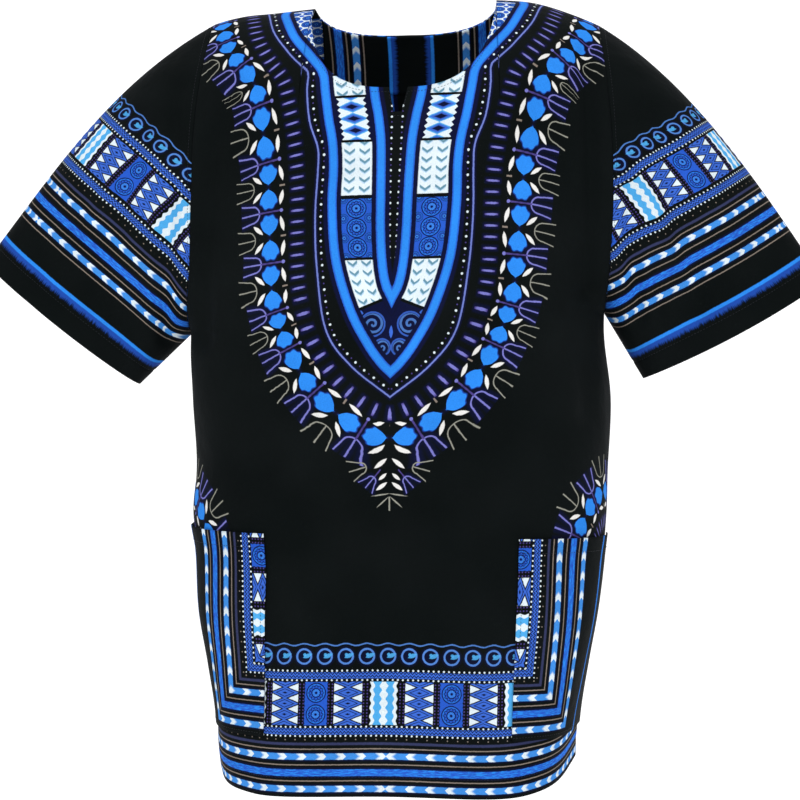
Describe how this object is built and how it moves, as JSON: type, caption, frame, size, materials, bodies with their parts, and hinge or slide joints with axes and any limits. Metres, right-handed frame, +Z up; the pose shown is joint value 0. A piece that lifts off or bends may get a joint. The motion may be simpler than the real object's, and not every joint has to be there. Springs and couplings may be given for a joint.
{
  "type": "african print dashiki t-shirt",
  "caption": "Loose black cotton dashiki t-shirt with wide short sleeves, a slit neck, patch pockets and blue and white printed yoke and borders, filled out as worn.",
  "frame": {"origin": "middle of the neck opening at the height of the shoulder line, where the wearer's shoulders carry the shirt", "axes": "+X to the right of the front view, -Y out of the front, +Z up"},
  "size_m": [0.838, 0.2968, 0.7693],
  "materials": {
    "body_print": "matt black plain-weave cotton with a blue, white, lavender and tan printed yoke, borders and motifs",
    "sleeve_print": "matt black plain-weave cotton printed with rows of blue and white borders",
    "pocket_print": "matt plain-weave cotton printed with blue, white, tan and black stripes",
    "facing_print": "matt plain-weave cotton printed with black, blue, white and tan upright stripes"
  },
  "bodies": {
    "root": {"front": "body_print", "back": "body_print", "sleeve_left": "sleeve_print", "sleeve_right": "sleeve_print", "pocket_left": "pocket_print", "pocket_right": "pocket_print", "back_facing": "facing_print"}
  },
  "joints": []
}
